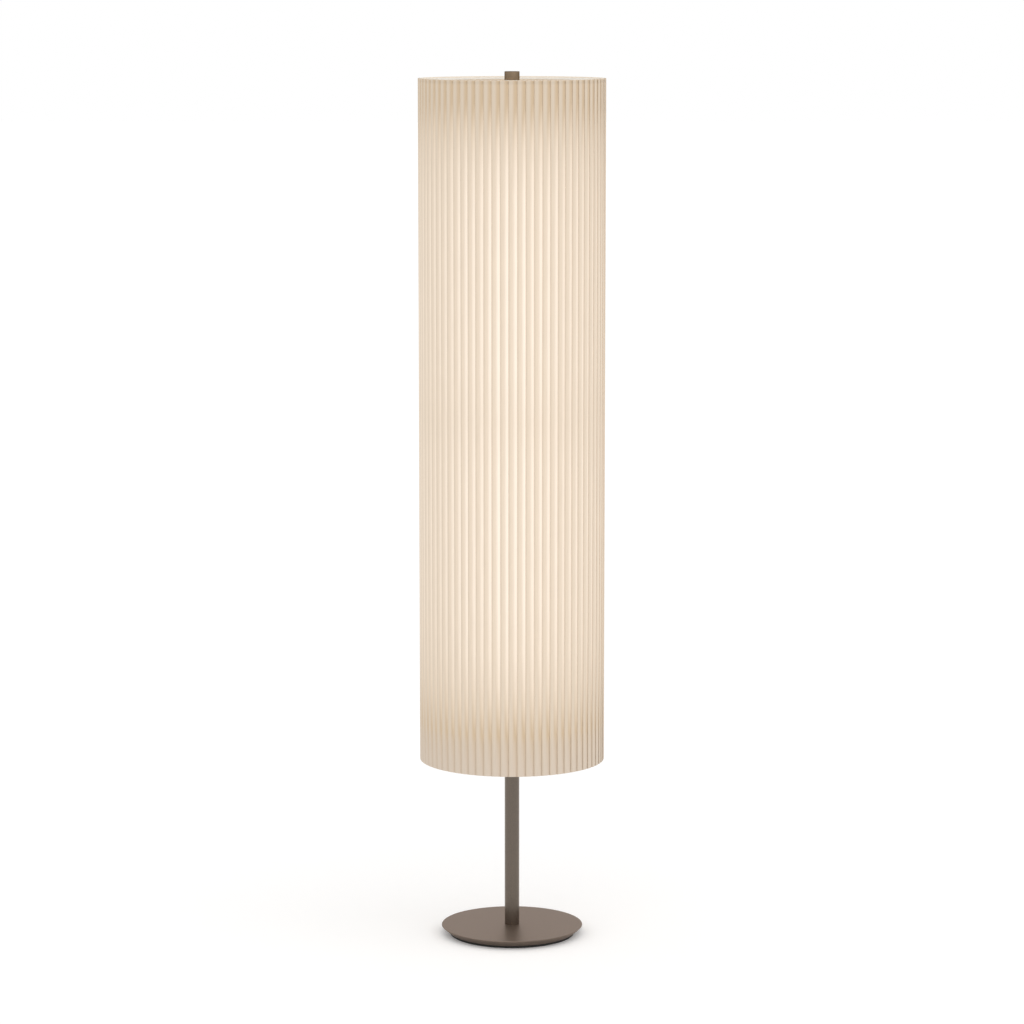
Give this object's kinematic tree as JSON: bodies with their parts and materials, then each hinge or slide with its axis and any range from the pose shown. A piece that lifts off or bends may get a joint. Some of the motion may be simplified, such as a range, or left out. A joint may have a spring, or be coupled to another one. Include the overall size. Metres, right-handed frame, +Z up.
{
  "type": "pleated shade floor lamp",
  "caption": "Floor lamp with a tall cylindrical knife-pleated shade that lifts off a slim stem on a round weighted base.",
  "frame": {"origin": "centre of the base on the floor", "axes": "+Z up along the stem, -Y to the front, the cord's inlet at +Y"},
  "size_m": [0.3498, 0.35, 1.6406],
  "materials": {
    "bronze_paint": "satin",
    "white_paint": "satin",
    "bright_steel": "bright",
    "black_rubber": "matte",
    "pleated_cloth": "fine plain weave, knife pleats",
    "liner_film": "translucent film",
    "frosted_glass": "frosted",
    "white_plastic": "moulded",
    "circuit_board": "solder mask",
    "cable_sheath": "extruded"
  },
  "bodies": {
    "stand": {"base_disc": "bronze_paint", "foot_ring": "black_rubber", "base_cover": "bronze_paint", "cover_screws": "bright_steel", "cord_gland": "black_rubber", "terminal_block": "white_plastic", "stem_tube": "bronze_paint", "stem_foot_plug": "bright_steel", "stem_nipple": "bright_steel", "nipple_washer": "bright_steel", "nipple_nut": "bright_steel", "stem_top_plug": "bronze_paint", "bracket_screws": "bright_steel", "collar_set_screws": "bright_steel", "holder_screws": "bright_steel", "wiring_lead": "cable_sheath", "centring_collar": "white_paint", "centring_arms": "white_paint", "centring_tips": "black_rubber", "lower_foot_bracket": "white_paint", "lower_foot_collar": "white_paint", "lower_front_foot_holder": "white_plastic", "lower_rear_foot_holder": "white_plastic", "lower_head_bracket": "white_paint", "lower_head_collar": "white_paint", "lower_front_head_holder": "white_plastic", "lower_rear_head_holder": "white_plastic", "upper_foot_bracket": "white_paint", "upper_foot_collar": "white_paint", "upper_front_foot_holder": "white_plastic", "upper_rear_foot_holder": "white_plastic", "upper_head_bracket": "white_paint", "upper_head_collar": "white_paint", "upper_front_head_holder": "white_plastic", "upper_rear_head_holder": "white_plastic"},
    "shade": {"shade_pleats": "pleated_cloth", "shade_liner": "liner_film", "shade_top_ring": "white_paint", "shade_bottom_ring": "white_paint", "shade_top_arms": "white_paint", "shade_top_hub": "white_paint"},
    "finial": {"finial_knob": "bronze_paint", "finial_screw": "bright_steel", "finial_clip": "bright_steel"},
    "lower_front_tube": {"lower_front_tube_glass": "frosted_glass", "lower_front_tube_caps": "white_plastic", "lower_front_tube_board": "circuit_board"},
    "lower_rear_tube": {"lower_rear_tube_glass": "frosted_glass", "lower_rear_tube_caps": "white_plastic", "lower_rear_tube_board": "circuit_board"},
    "upper_front_tube": {"upper_front_tube_glass": "frosted_glass", "upper_front_tube_caps": "white_plastic", "upper_front_tube_board": "circuit_board"},
    "upper_rear_tube": {"upper_rear_tube_glass": "frosted_glass", "upper_rear_tube_caps": "white_plastic", "upper_rear_tube_board": "circuit_board"}
  },
  "joints": [
    {"name": "shade_lift", "type": "slide", "parent": "stand", "child": "shade", "axis": [0, 0, 1], "range_m": [0, 1.3]},
    {"name": "finial_turn", "type": "hinge", "parent": "shade", "child": "finial", "pos_m": [0, 0, 1.6216], "axis": [0, 0, 1], "continuous": true},
    {"name": "lower_front_tube_pull", "type": "slide", "parent": "stand", "child": "lower_front_tube", "axis": [0, -1, 0], "range_m": [0, 0.018]},
    {"name": "lower_rear_tube_pull", "type": "slide", "parent": "stand", "child": "lower_rear_tube", "axis": [0, 1, 0], "range_m": [0, 0.018]},
    {"name": "upper_front_tube_pull", "type": "slide", "parent": "stand", "child": "upper_front_tube", "axis": [0, -1, 0], "range_m": [0, 0.018]},
    {"name": "upper_rear_tube_pull", "type": "slide", "parent": "stand", "child": "upper_rear_tube", "axis": [0, 1, 0], "range_m": [0, 0.018]}
  ]
}
